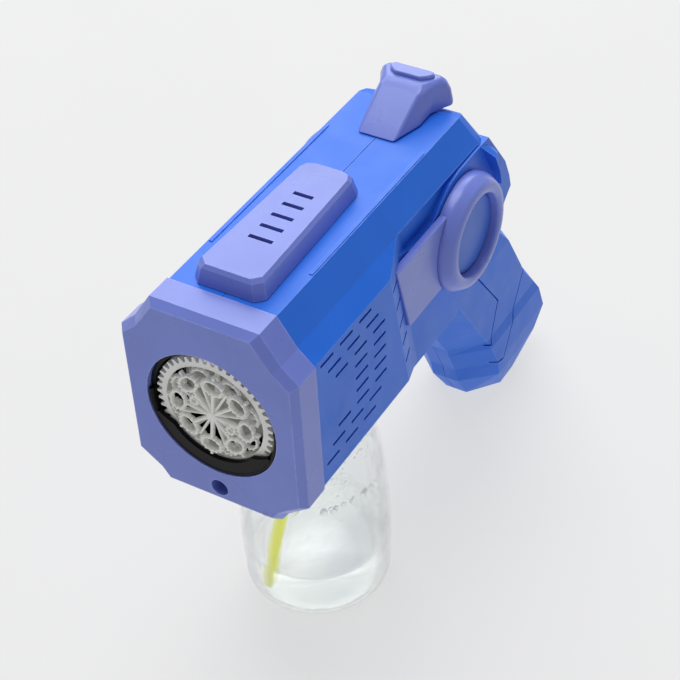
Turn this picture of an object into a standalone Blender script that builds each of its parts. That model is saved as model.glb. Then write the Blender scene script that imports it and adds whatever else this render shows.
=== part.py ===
"""Hand-held bubble machine: a battery bubble blaster on its own bottle.

Design frame: X to the holder's left, Y backwards from the muzzle face, Z up from
the table. Lengths are written in millimetres and built in metres.
"""
from math import cos, pi, radians, sin

import bmesh
import bpy
from mathutils import Matrix, Vector

MM = 0.001
GAP = 0.3                      # clearance between neighbouring pieces

# Driving dimensions
LENGTH = 229.4                 # muzzle face to the rearmost point of the foot
HALF_WIDTH = 35.0              # bezel, at its widest
BODY_TOP = 174.0
BEZEL_DEPTH = 13.4
HULL_FRONT = BEZEL_DEPTH + GAP
HULL_REAR = 148.3              # rear of the top face; the rear face leans back from it
REAR_LEAN = 0.25
SKIN = 2.0                     # wall of the moulded shells
WAND_Z = 131.8                 # height of the bubble outlet's centre
OUTLET_RADIUS = 26.0
RECESS_FLOOR = 29.0            # half width of the sunk side panels
BOTTLE_Y = 57.8
BOTTLE_RADIUS = 30.0
NECK_RADIUS = 13.0
NECK_TOP = 106.0
RING_Y, RING_Z = 125.4, 135.8
RING_RADIUS = 23.2
FLAG_FACE = 32.3
RIGHT_RING_DROP = 2.6          # the ring on the right side is lower than the left one
GEAR_MODULE = 1.0
WAND_TEETH = 45
PINION_TEETH = 10
PUMP_TEETH = 30
DRIVE_Z = WAND_Z + GEAR_MODULE * (WAND_TEETH + PINION_TEETH) / 2
PUMP_Z = DRIVE_Z - GEAR_MODULE * (PUMP_TEETH + PINION_TEETH) / 2
RAKE = radians(34.0)           # lean of the grip and of the cells in it
CELL_RADIUS, CELL_LENGTH = 7.1, 50.0
CELL_CENTRE = (180.0, 59.0)    # Y, Z of the middle of the battery pack

# Half outline of the body section (X, Z), top to bottom
SECTION = [(21.0, 174.0), (28.1, 163.4), (34.3, 157.5),
           (34.3, 102.2), (26.2, 96.0), (23.2, 91.6)]
BEZEL_SECTION = [(21.3, 174.7), (28.6, 163.8), (35.0, 157.8),
                 (35.0, 101.9), (26.6, 95.4), (23.5, 90.9)]

PARTS = None
CUTTERS = None


# ---------------------------------------------------------------- scene helpers

def clear_scene():
    for obj in list(bpy.data.objects):
        bpy.data.objects.remove(obj, do_unlink=True)


def add_collection(name):
    collection = bpy.data.collections.new(name)
    bpy.context.scene.collection.children.link(collection)
    return collection


def material(name, colour, roughness, metallic=0.0, transmission=0.0):
    mat = bpy.data.materials.new(name)
    mat.use_nodes = True
    shader = mat.node_tree.nodes["Principled BSDF"]
    shader.inputs["Base Color"].default_value = (*colour, 1.0)
    shader.inputs["Roughness"].default_value = roughness
    shader.inputs["Metallic"].default_value = metallic
    shader.inputs["Transmission Weight"].default_value = transmission
    mat.diffuse_color = (*colour, 1.0)
    return mat


def mesh_object(name, bm, mat=None, origin=(0, 0, 0)):
    """Turn a bmesh in millimetres into an object whose origin is at `origin`."""
    bmesh.ops.translate(bm, verts=bm.verts, vec=-Vector(origin))
    bmesh.ops.scale(bm, verts=bm.verts, vec=(MM, MM, MM))
    bmesh.ops.recalc_face_normals(bm, faces=bm.faces)
    mesh = bpy.data.meshes.new(name)
    bm.to_mesh(mesh)
    bm.free()
    obj = bpy.data.objects.new(name, mesh)
    obj.location = Vector(origin) * MM
    if mat:
        mesh.materials.append(mat)
        PARTS.objects.link(obj)
    else:
        CUTTERS.objects.link(obj)
        obj.hide_render = True
        obj.display_type = "WIRE"
    return obj


def boolean(obj, cutter, operation="DIFFERENCE"):
    mod = obj.modifiers.new(operation.title(), "BOOLEAN")
    mod.operation = operation
    mod.solver = "EXACT"
    mod.object = cutter
    return mod


def boolean_group(obj, cutters, operation="DIFFERENCE"):
    for cutter in cutters:
        boolean(obj, cutter, operation)


def bevel(obj, width, segments=2, angle=30.0):
    mod = obj.modifiers.new("Bevel", "BEVEL")
    mod.width = width * MM
    mod.segments = segments
    mod.limit_method = "ANGLE"
    mod.angle_limit = radians(angle)
    return mod


# ---------------------------------------------------------------- shape helpers

def box(low, high):
    bm = bmesh.new()
    bmesh.ops.create_cube(bm, size=1.0)
    low, high = Vector(low), Vector(high)
    bmesh.ops.scale(bm, verts=bm.verts, vec=high - low)
    bmesh.ops.translate(bm, verts=bm.verts, vec=(high + low) / 2)
    return bm


def cylinder(radius, start, end, segments=32, end_radius=None):
    """A cylinder or cone between two points."""
    start, end = Vector(start), Vector(end)
    bm = bmesh.new()
    bmesh.ops.create_cone(
        bm, cap_ends=True, segments=segments, radius1=radius,
        radius2=radius if end_radius is None else end_radius,
        depth=(end - start).length)
    turn = Vector((0, 0, 1)).rotation_difference(end - start).to_matrix()
    bmesh.ops.rotate(bm, verts=bm.verts, matrix=turn)
    bmesh.ops.translate(bm, verts=bm.verts, vec=(start + end) / 2)
    return bm


def stepped_rod(steps, place, axis="X", segments=16):
    """Solid of (position, radius) steps along X or Y through a point of the other two."""
    rings = []
    for position, radius in steps:
        ring = []
        for i in range(segments):
            angle = 2 * pi * (i + 0.5) / segments
            u, v = place[0] + radius * cos(angle), place[1] + radius * sin(angle)
            ring.append((position, u, v) if axis == "X" else (u, position, v))
        rings.append(ring)
    return loft(rings)


def loft(rings):
    """Closed solid through rings of equal point count."""
    bm = bmesh.new()
    loops = [[bm.verts.new(point) for point in ring] for ring in rings]
    for lower, upper in zip(loops, loops[1:]):
        for i in range(len(lower)):
            j = (i + 1) % len(lower)
            bm.faces.new((lower[i], lower[j], upper[j], upper[i]))
    bm.faces.new(loops[0])
    bm.faces.new(loops[-1])
    return bm


def mirrored(half):
    """Whole outline from its +X half, listed from one end to the other."""
    return half + [(-x, *rest) for x, *rest in reversed(half)]


def inset_section(section, amount):
    """Body section moved inwards by `amount`."""
    middle = (section[0][1] + section[-1][1]) / 2
    height = (section[0][1] - section[-1][1]) / 2
    shrink = 1 - amount / height
    return [(x - amount, middle + (z - middle) * shrink) for x, z in section]


def body_prism(section, front, rear):
    outline = mirrored(section)
    return loft([[(x, y, z) for x, z in outline] for y in (front, rear)])


def side_prism(outline, x0, x1):
    """Extrude a (Y, Z) outline between two X planes."""
    return loft([[(x, y, z) for y, z in outline] for x in (x0, x1)])


def merge(*pieces):
    """Several closed shells in one bmesh."""
    whole = bmesh.new()
    for piece in pieces:
        mesh = bpy.data.meshes.new("piece")
        piece.to_mesh(mesh)
        piece.free()
        whole.from_mesh(mesh)
        bpy.data.meshes.remove(mesh)
    return whole


def turned(name, profile, mat, axis, centre, steps=48):
    """Screw modifier on a (radius, height) profile, turned about `axis`.

    The profile is closed, unless both its ends lie on the axis.
    """
    pairs = list(zip(profile, profile[1:] + profile[:1]))
    if sum(a[0] * b[1] - b[0] * a[1] for a, b in pairs) > 0:
        profile = profile[::-1]
    bm = bmesh.new()
    verts = [bm.verts.new((radius, 0, height)) for radius, height in profile]
    for lower, upper in zip(verts, verts[1:]):
        bm.edges.new((lower, upper))
    if profile[0][0] or profile[-1][0]:
        bm.edges.new((verts[-1], verts[0]))
    obj = mesh_object(name, bm, mat)
    obj.location = Vector(centre) * MM
    turn = {"X": (0, pi / 2, 0), "Y": (-pi / 2, 0, 0), "-X": (0, -pi / 2, 0),
            "-Y": (pi / 2, 0, 0), "Z": (0, 0, 0)}
    obj.rotation_euler = turn[axis]
    screw = obj.modifiers.new("Screw", "SCREW")
    screw.steps = screw.render_steps = steps
    screw.use_merge_vertices = True
    screw.merge_threshold = 1e-6
    return obj


def arc(centre, radius, start, end, count):
    """Points on an arc, angles in degrees."""
    angles = [radians(start + (end - start) * i / count) for i in range(count + 1)]
    return [(centre[0] + radius * cos(a), centre[1] + radius * sin(a)) for a in angles]


def gear_outline(teeth, module=GEAR_MODULE, phase=0.0):
    """Straight-flanked gear outline (X, Z), with 0.15 mm of backlash a side."""
    pitch = teeth * module / 2
    root, tip = pitch - 1.15 * module, pitch + 0.85 * module
    step = 2 * pi / teeth
    points = []
    for tooth in range(teeth):
        middle = phase + tooth * step
        for radius, offset in ((root, -0.32), (tip, -0.12), (tip, 0.12), (root, 0.32)):
            angle = middle + offset * step
            points.append((radius * cos(angle), radius * sin(angle)))
    return points


def gear(teeth, centre, y0, y1, phase=0.0):
    outline = gear_outline(teeth, phase=phase)
    return loft([[(centre[0] + x, y, centre[1] + z) for x, z in outline]
                 for y in (y0, y1)])


def tube_curve(name, points, radius, mat, resolution=2):
    """Round rod along a POLY spline with filled caps."""
    curve = bpy.data.curves.new(name, "CURVE")
    curve.dimensions = "3D"
    curve.bevel_depth = radius * MM
    curve.bevel_resolution = resolution
    curve.use_fill_caps = True
    spline = curve.splines.new("POLY")
    spline.points.add(len(points) - 1)
    for target, point in zip(spline.points, points):
        target.co = (*(Vector(point) * MM), 1.0)
    curve.materials.append(mat)
    obj = bpy.data.objects.new(name, curve)
    PARTS.objects.link(obj)
    return obj


def smooth_route(points, count):
    """Catmull-Rom points through a route."""
    pts = [Vector(p) for p in points]
    pts = [2 * pts[0] - pts[1]] + pts + [2 * pts[-1] - pts[-2]]
    spans = len(pts) - 3
    route = []
    for i in range(count + 1):
        place = min(i * spans / count, spans - 1e-9)
        k, t = int(place), place - int(place)
        a, b, c, d = pts[k:k + 4]
        route.append(0.5 * (2 * b + (c - a) * t + (2 * a - 5 * b + 4 * c - d) * t * t
                            + (3 * b - a - 3 * c + d) * t ** 3))
    return route


def coil_points(start, direction, length, radius, turns, per_turn=10):
    """Helix from `start` along `direction`."""
    direction = Vector(direction).normalized()
    side = direction.orthogonal().normalized()
    other = direction.cross(side)
    total = int(turns * per_turn)
    points = []
    for i in range(total + 1):
        angle = 2 * pi * i / per_turn
        along = Vector(start) + direction * (length * i / total)
        points.append(along + radius * (cos(angle) * side + sin(angle) * other))
    return points


# ---------------------------------------------------------------- casing shells

# Grip levels: height, front Y, rear Y, half width, front flat, rear flat
GRIP_LEVELS = [
    (0.0, 178.0, 209.0, 15.5, 5.0, 9.0),
    (15.3, 167.6, 221.4, 20.0, 6.0, 11.0),
    (24.0, 165.2, LENGTH, 20.6, 6.0, 11.0),
    (36.5, 159.4, 225.0, 20.2, 6.0, 11.0),
    (41.0, 157.5, 222.6, 18.8, 6.0, 11.0),
    (53.5, 149.0, 213.0, 18.5, 6.0, 11.0),
    (82.2, 130.0, 196.4, 18.5, 6.0, 11.0),
    (98.0, 119.5, 183.0, 17.5, 6.0, 11.0),
    (116.0, 112.0, 160.0, 17.0, 6.0, 11.0),
]

SIDE_PANEL = [(72, 160), (77, 156.8), (87, 152.6), (98.5, 151.5), (105, 152.4), (111, 157),
              (118, 161), (126, 162.5), (140, 162.8), (149, 162.8), (163.6, 143), (167.5, 134),
              (169, 128), (164, 123.8), (158.5, 117), (150, 108), (122, 96), (80, 96), (76, 100)]


def grip_ring(z, front, rear, width, front_flat, rear_flat, wall=0.0):
    front, rear, width = front + wall * 1.2, rear - wall * 1.2, width - wall
    half = [(front_flat, front, z), (width, front + 13.0, z),
            (width, rear - 6.0, z), (rear_flat - wall * 0.5, rear, z)]
    return mirrored(half)


def grip_solid(wall=0.0, levels=None):
    rings = [grip_ring(*level, wall=wall) for level in levels or GRIP_LEVELS]
    return loft(rings)


def cavity_levels():
    """Grip levels with the floor raised by one wall."""
    z, *rest = GRIP_LEVELS[0]
    return [(z + SKIN, *rest)] + GRIP_LEVELS[1:]


def recess_cutter(sign):
    """Sunk side panel behind the intake block, with its slanted front facet."""
    outline = [(36.0, 60.6), (34.3, 64.0), (26.5, 86.0), (26.5, 190.0), (40.0, 190.0),
               (40.0, 60.6)]
    rings = []
    for z in (88.0, 163.4):
        lean = 0.2 * (157.5 - z)
        rings.append([(sign * x, y + lean, z) for x, y in outline])
    return loft(rings)


def rear_block(sign):
    """What the recess leaves standing: the full-width block behind the side ring."""
    outline = [(141, 170), (142, 163), (156, 137.6), (180, 126), (195, 126), (195, 170)]
    return side_prism(outline, sign * 20.0, sign * 45.0)


def body_blank():
    """Body section run back to a rounded, leaning rear face."""
    rings = [[(x, HULL_FRONT, z) for x, z in mirrored(SECTION)]]
    for back, inset in ((8.0, 0.0), (4.4, 0.9), (1.6, 2.8), (0.0, 6.4)):
        outline = mirrored(inset_section(SECTION, inset))
        rings.append([(x, HULL_REAR - back + REAR_LEAN * (BODY_TOP - z), z)
                      for x, z in outline])
    return loft(rings)


def intake_slots(sign):
    """Three columns of slots in a chevron, and five more on the slanted facet."""
    slots = []
    for row in range(9):
        z = 154.7 - 5.6 * row
        shift = -4.35 * max(2 - row, row - 6, 0)
        for column in range(3):
            if column == 0 and 3 <= row <= 5:
                continue
            y = 25.8 + 12.7 * column + shift
            slots.append(box((sign * 31.0, y, z - 0.65), (sign * 37.0, y + 8.4, z + 0.65)))
    for row in range(5):
        z = 150.0 - 9.4 * row
        y = 64.8 + 0.2 * (157.5 - z)
        slots.append(box((sign * 26.0, y, z - 0.65), (sign * 36.0, y + 7.5, z + 0.65)))
    return merge(*slots)


def casing_blank(plastic):
    """Body and grip as one hollow moulding, before it is split."""
    blank = mesh_object("casing", body_blank(), plastic)
    for sign, side in ((1, "left"), (-1, "right")):
        recess = mesh_object(f"cut_recess_{side}", recess_cutter(sign))
        boolean(recess, mesh_object(f"spare_block_{side}", rear_block(sign)))
        boolean(blank, recess)
    tail = [(124, 80), (123, 97.6), (149.4, 109.5), (157.2, 118), (162.5, 125), (195, 127),
            (195, 80)]
    boolean(blank, mesh_object("cut_tail", side_prism(tail, -50.0, 50.0)))
    boolean(blank, mesh_object("add_panel", side_prism(SIDE_PANEL, -RECESS_FLOOR,
                                                       RECESS_FLOOR)), "UNION")
    boolean(blank, mesh_object("add_grip", grip_solid()), "UNION")
    for sign, side in ((1, "left"), (-1, "right")):
        rail = box((sign * 19.2, 37.0, BODY_TOP - 1), (sign * 20.5, 115.0, BODY_TOP + 0.4))
        boolean(blank, mesh_object(f"add_rail_{side}", rail), "UNION")
    return blank


def hollow_cutters():
    front = inset_section(SECTION, SKIN)
    narrow = [(min(x, 24.4), z) for x, z in front]
    raised = [(x, max(z, 111.0)) for x, z in narrow]
    panel = [(80, 150), (82, 99), (121, 99), (146, 110), (153, 120), (160, 129),
             (158.5, 135), (148, 150)]
    return [
        mesh_object("cut_front", body_prism(front, HULL_FRONT - 5, 62.0)),
        mesh_object("cut_middle", body_prism(narrow, 61.0, 121.0)),
        mesh_object("cut_rear", body_prism(raised, 120.0, HULL_REAR - SKIN - 1)),
        mesh_object("cut_panel", side_prism(panel, -RECESS_FLOOR + SKIN,
                                            RECESS_FLOOR - SKIN)),
        mesh_object("cut_grip", grip_solid(SKIN, cavity_levels())),
    ]


def flag_outline(grow=0.0):
    """(Y, Z) corners of the side flag; it ends behind the ring's edge."""
    return [(72.4 - grow, 153.3 + grow), (112.0, 153.3 + grow),
            (112.0, 123.2 - grow), (80.7 - grow, 123.2 - grow)]


def opening_cutters():
    """Bottle mouth, trigger slot and the battery bay's side opening."""
    rake_box = box((-30.0, -15.5, -26.5), (-12.0, 15.5, 26.5))
    bmesh.ops.rotate(rake_box, verts=rake_box.verts, matrix=Matrix.Rotation(RAKE, 3, "X"))
    bmesh.ops.translate(rake_box, verts=rake_box.verts, vec=(0, *CELL_CENTRE))
    return [
        mesh_object("cut_bottle", cylinder(24.0, (0, BOTTLE_Y, 80), (0, BOTTLE_Y, 96), 48)),
        mesh_object("cut_trigger", box((-4.8, 110, 73.4), (4.8, 138, 100.0))),
        mesh_object("cut_battery", rake_box),
    ]


BOSSES = [(32.0, 104.5), (138.0, 148.0), (100.0, 103.5), (199.0, 20.0), (166.0, 100.0)]


def casing_half(blank, sign, side, plastic):
    """One shell: the blank, cut at the seam, with its screw bosses."""
    name = f"casing_{side}"
    half = blank.copy()
    half.data = blank.data.copy()
    half.name = name
    PARTS.objects.link(half)
    boolean_group(half, [bpy.data.objects[n] for n in
                         ("cut_front", "cut_middle", "cut_rear", "cut_panel", "cut_grip",
                          "cut_bottle", "cut_trigger")])
    boolean(half, mesh_object(f"cut_slots_{side}", intake_slots(sign)))
    pocket = side_prism(flag_outline(GAP), sign * (RECESS_FLOOR + 0.1), sign * 40.0)
    boolean(half, mesh_object(f"cut_flag_pocket_{side}", pocket))
    outer = {0: 33.5, 1: 28.0, 2: 28.0, 3: 19.6, 4: 17.0}
    for i, (y, z) in enumerate(BOSSES):
        post = cylinder(3.0, (0, y, z), (sign * outer[i], y, z), 16)
        boolean(half, mesh_object(f"add_boss_{side}_{i + 1}", post), "UNION")
    if sign < 0:
        boolean(half, bpy.data.objects["cut_battery"])
    keep = box((sign * 0.15, -20, -5), (sign * 60, 250, 200))
    boolean(half, mesh_object(f"keep_{side}", keep), "INTERSECT")
    for i, (y, z) in enumerate(BOSSES):
        if sign < 0:
            head = 34.3 if i == 0 else outer[i] + 1.0
            steps = [(5.0, 1.7), (4.0 - head, 1.7), (4.0 - head, 3.0), (-50.0, 3.0)]
        else:
            steps = [(-5.0, 1.7), (9.0, 1.7)]
        hole = stepped_rod(steps, (y, z))
        boolean(half, mesh_object(f"cut_screw_{side}_{i + 1}", hole))
    return half


def casing(mats):
    blank = casing_blank(mats["blue"])
    hollow_cutters()
    opening_cutters()
    casing_half(blank, 1, "left", mats["blue"])
    casing_half(blank, -1, "right", mats["blue"])
    mesh = blank.data
    bpy.data.objects.remove(blank)
    bpy.data.meshes.remove(mesh)


def screws(mats):
    outer = {0: 34.3, 1: 29.0, 2: 29.0, 3: 20.6, 4: 18.0}
    for i, (y, z) in enumerate(BOSSES):
        seat = -outer[i] + 4.0 - GAP
        profile = [(0, 0), (2.6, 0), (2.6, 1.2), (1.4, 1.7), (1.4, -seat + 6.0),
                   (0, -seat + 8.0)]
        turned(f"casing_screw_{i + 1}", profile, mats["steel"], "X",
               (seat - 1.8, y, z), 12)


# ---------------------------------------------------------------- front end

def front_bezel(mats):
    rings = []
    for y, grow in ((0.0, -2.2), (3.0, 0.0), (BEZEL_DEPTH, 0.0)):
        outline = mirrored(inset_section(BEZEL_SECTION, -grow))
        rings.append([(x, y, z) for x, z in outline])
    bezel = mesh_object("front_bezel", loft(rings), mats["lavender"])
    pocket = body_prism(inset_section(BEZEL_SECTION, 2.2), 2.4, 20.0)
    boolean(bezel, mesh_object("cut_bezel_pocket", pocket))
    mouth = cylinder(OUTLET_RADIUS, (0, -5, WAND_Z), (0, 10, WAND_Z), 48)
    boolean(bezel, mesh_object("cut_bezel_mouth", mouth))
    boss = cylinder(5.0, (0, 0.3, 98.0), (0, BEZEL_DEPTH, 98.0), 24)
    boolean(bezel, mesh_object("add_bezel_boss", boss), "UNION")
    steps = [(-3.0, 3.5), (7.0, 3.5), (7.0, 1.7), (20.0, 1.7)]
    hole = stepped_rod(steps, (0, 98.0), "Y", 20)
    boolean(bezel, mesh_object("cut_bezel_screw", hole))


def front_frame(mats):
    """Bulkhead behind the bezel: screw anchor and carrier of the drive shaft."""
    plate = body_prism(inset_section(SECTION, SKIN + GAP), HULL_FRONT + 1.0, HULL_FRONT + 3.5)
    frame = mesh_object("front_frame", plate, mats["white"])
    mouth = cylinder(18.4, (0, 5, WAND_Z), (0, 30, WAND_Z), 48)
    boolean(frame, mesh_object("cut_frame_mouth", mouth))
    boolean(frame, mesh_object("cut_frame_shaft",
                               cylinder(2.1, (0, 5, DRIVE_Z), (0, 30, DRIVE_Z), 20)))
    boss = cylinder(4.0, (0, HULL_FRONT + 1.5, 98.0), (0, 26, 98.0), 20)
    boolean(frame, mesh_object("add_frame_boss", boss), "UNION")
    boolean(frame, mesh_object("cut_frame_screw",
                               cylinder(1.6, (0, 5, 98.0), (0, 40, 98.0), 16)))
    drain = box((-3, 8, 104.2), (3, 30, 110))
    boolean(frame, mesh_object("cut_frame_drain", drain))


def bezel_screw(mats):
    profile = [(0, 0), (2.6, 0), (2.6, 1.4), (1.35, 1.9), (1.35, 15.0), (0, 17.0)]
    turned("bezel_screw", profile, mats["steel"], "Y", (0, 4.6, 98.0), 16)


def drip_cup(mats):
    """Black solution cup: full ring at the back, open lip over the top at the front."""
    profile = [(25.6, 0.5), (25.6, BEZEL_DEPTH), (19.0, BEZEL_DEPTH), (19.0, 11.8),
               (24.3, 11.8), (24.3, 1.2), (24.9, 0.5)]
    cup = turned("drip_cup", profile, mats["black"], "Y", (0, 0, WAND_Z), 40)
    slot = merge(box((-30, -5, WAND_Z + 2), (30, 2.4, WAND_Z + 40)),
                 box((-8, -5, WAND_Z + 10), (8, 11.0, WAND_Z + 40)))
    boolean(cup, mesh_object("cut_cup_front", slot)).use_self = True


def wand_star(mats):
    """Hub, ten spokes and ten ribbed bubble loops on the front of the wheel."""
    parts = [cylinder(3.0, (0, 0.1, WAND_Z), (0, 2.1, WAND_Z), 20)]
    for spoke in range(10):
        outer = spoke % 2 == 0
        reach, radius = (15.6, 4.0) if outer else (10.6, 3.2)
        angle = spoke * pi / 5 + 0.2
        start = Vector((1.5 * cos(angle), 1.2, WAND_Z + 1.5 * sin(angle)))
        inner = reach - 0.85 * radius + 0.4
        end = Vector((inner * cos(angle), 1.2, WAND_Z + inner * sin(angle)))
        parts.append(cylinder(0.8, start, end, 8))
        centre = Vector((reach * cos(angle), 0, WAND_Z + reach * sin(angle)))
        parts.append(bubble_loop(centre, radius, angle))
        if outer:
            tip = Vector(((reach + 3.2) * cos(angle), 0, WAND_Z + (reach + 3.2) * sin(angle)))
            parts.append(cylinder(0.9, tip + Vector((0, 0.6, 0)), tip + Vector((0, 2.1, 0)), 8))
    star = mesh_object("wand_star", merge(*parts), mats["white"], (0, 0, WAND_Z))
    bore = mesh_object("cut_star_bore", cylinder(1.7, (0, 0.8, WAND_Z), (0, 9, WAND_Z), 16))
    boolean(star, bore).use_self = True


def bubble_loop(centre, radius, angle, lobes=9):
    """Scalloped ring, 1.4 mm deep, flattened a little along its spoke."""
    bm = bmesh.new()
    rows = []
    for y in (0.5, 1.9):
        for inner in (False, True):
            row = []
            for i in range(2 * lobes):
                turn = 2 * pi * i / (2 * lobes)
                wave = 0.25 if i % 2 == 0 and not inner else 0.0
                r = radius - 1.1 if inner else radius + wave
                x, z = 0.85 * r * cos(turn), r * sin(turn)
                row.append(bm.verts.new((centre.x + x * cos(angle) - z * sin(angle), y,
                                         centre.z + x * sin(angle) + z * cos(angle))))
            rows.append(row)
    order = [rows[0], rows[2], rows[3], rows[1]]
    for a, b in zip(order, order[1:] + order[:1]):
        for i in range(2 * lobes):
            j = (i + 1) % (2 * lobes)
            bm.faces.new((a[i], a[j], b[j], b[i]))
    return bm


def wand_gear(mats):
    """Toothed rim and thin web behind the star, driven at its top."""
    rim = gear(WAND_TEETH, (0, WAND_Z), 2.4, 6.0, phase=pi / 2)
    wheel = mesh_object("wand_gear", rim, mats["white"], (0, 0, WAND_Z))
    boolean(wheel, mesh_object("cut_gear_window",
                               cylinder(19.4, (0, 0, WAND_Z), (0, 20, WAND_Z), 48)))
    arms = []
    for arm in range(5):
        angle = arm * 2 * pi / 5 + 0.2
        end = (20.2 * cos(angle), 4.2, WAND_Z + 20.2 * sin(angle))
        arms.append(cylinder(1.0, (2 * cos(angle), 4.2, WAND_Z + 2 * sin(angle)), end, 8))
    arms.append(cylinder(3.0, (0, 2.4, WAND_Z), (0, 12.0, WAND_Z), 20))
    boolean(wheel, mesh_object("add_gear_arms", merge(*arms)), "UNION").use_self = True
    boolean(wheel, mesh_object("cut_gear_bore",
                               cylinder(1.7, (0, 0, WAND_Z), (0, 20, WAND_Z), 16)))


def wand_axle(mats):
    profile = [(0, 0), (1.4, 0), (1.4, 20.6), (0, 20.6)]
    turned("wand_axle", profile, mats["steel"], "Y", (0, 1.1, WAND_Z), 20)


def air_duct(mats):
    """Tapered duct from the fan to the wheel, with a spider for the axle."""
    profile = [(18.0, 13.9), (18.0, 30.0), (18.8, 36.0), (17.4, 36.0), (16.4, 30.0),
               (16.4, 13.9)]
    duct = turned("air_duct", profile, mats["white"], "Y", (0, 0, WAND_Z), 36)
    arms = [cylinder(3.2, (0, 13.9, WAND_Z), (0, 21.0, WAND_Z), 20)]
    for arm in range(3):
        angle = arm * 2 * pi / 3 + pi / 2
        end = (17.2 * cos(angle), 17.0, WAND_Z + 17.2 * sin(angle))
        arms.append(cylinder(1.2, (0, 17.0, WAND_Z), end, 8))
    local = mesh_object("add_duct_spider", merge(*arms))
    boolean(duct, local, "UNION").use_self = True
    bore = cylinder(1.7, (0, 12, WAND_Z), (0, 25, WAND_Z), 16)
    boolean(duct, mesh_object("cut_duct_bore", bore))


# ---------------------------------------------------------------- fan and drive

def fan(mats):
    housing = [(19.4, 36.4), (19.4, 52.0), (8.0, 52.0), (8.0, 50.6), (18.0, 50.6),
               (18.0, 36.4)]
    shell = turned("fan_housing", housing, mats["black"], "Y", (0, 0, WAND_Z), 36)
    inlets = []
    for inlet in range(6):
        angle = inlet * pi / 3 + pi / 6
        x, z = 13.2 * cos(angle), WAND_Z + 13.2 * sin(angle)
        inlets.append(cylinder(3.4, (x, 45, z), (x, 60, z), 12))
    boolean(shell, mesh_object("cut_fan_inlets", merge(*inlets)))
    blades = [cylinder(4.0, (0, 38.2, WAND_Z), (0, 49.0, WAND_Z), 20)]
    for blade in range(7):
        vane = box((3.0, 39.0, -0.6), (16.6, 48.0, 0.6))
        bmesh.ops.rotate(vane, verts=vane.verts, cent=(10, 43.5, 0),
                         matrix=Matrix.Rotation(radians(28), 3, "X"))
        bmesh.ops.rotate(vane, verts=vane.verts,
                         matrix=Matrix.Rotation(blade * 2 * pi / 7, 3, "Y"))
        bmesh.ops.translate(vane, verts=vane.verts, vec=(0, 0, WAND_Z))
        blades.append(vane)
    impeller = mesh_object("fan_impeller", merge(*blades), mats["white"], (0, 0, WAND_Z))
    boolean(impeller, mesh_object("cut_fan_bore",
                                  cylinder(1.1, (0, 42, WAND_Z), (0, 60, WAND_Z), 12))
            ).use_self = True
    turned("fan_shaft", [(0, 43.5), (0.8, 43.5), (0.8, 52.2), (0, 52.2)],
           mats["steel"], "Y", (0, 0, WAND_Z), 12)
    motor = [(0, 52.5), (10.0, 52.5), (10.0, 76.5), (4.0, 76.5), (4.0, 78.0), (0, 78.0)]
    turned("fan_motor", motor, mats["metal"], "Y", (0, 0, WAND_Z), 24)


def drive(mats):
    """Geared motor with a shaft out of each end: wand pinion in front, pump behind."""
    turned("drive_shaft", [(0, 3.2), (1.5, 3.2), (1.5, 53.0), (0, 53.0)],
           mats["steel"], "Y", (0, 0, DRIVE_Z), 20)
    for name, y0, y1 in (("drive_pinion", 2.8, 6.8), ("pump_pinion", 97.0, 101.6)):
        pinion = gear(PINION_TEETH, (0, DRIVE_Z), y0, y1, phase=-pi / 2 + pi / PINION_TEETH)
        obj = mesh_object(name, pinion, mats["white"], (0, 0, DRIVE_Z))
        bore = cylinder(1.8, (0, y0 - 2, DRIVE_Z), (0, y1 + 2, DRIVE_Z), 16)
        boolean(obj, mesh_object(f"cut_{name}", bore))
    box_mesh = box((-11, 53.4, DRIVE_Z - 7.6), (11, 66.0, DRIVE_Z + 10.4))
    gearbox = mesh_object("gearbox", box_mesh, mats["white"])
    bevel(gearbox, 1.5, 2)
    motor = [(0, 66.3), (9.0, 66.3), (9.0, 92.0), (3.5, 92.0), (3.5, 93.5), (0, 93.5)]
    turned("drive_motor", motor, mats["metal"], "Y", (0, 0, DRIVE_Z), 24)
    turned("pump_shaft", [(0, 93.8), (1.5, 93.8), (1.5, 103.0), (0, 103.0)],
           mats["steel"], "Y", (0, 0, DRIVE_Z), 20)


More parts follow.
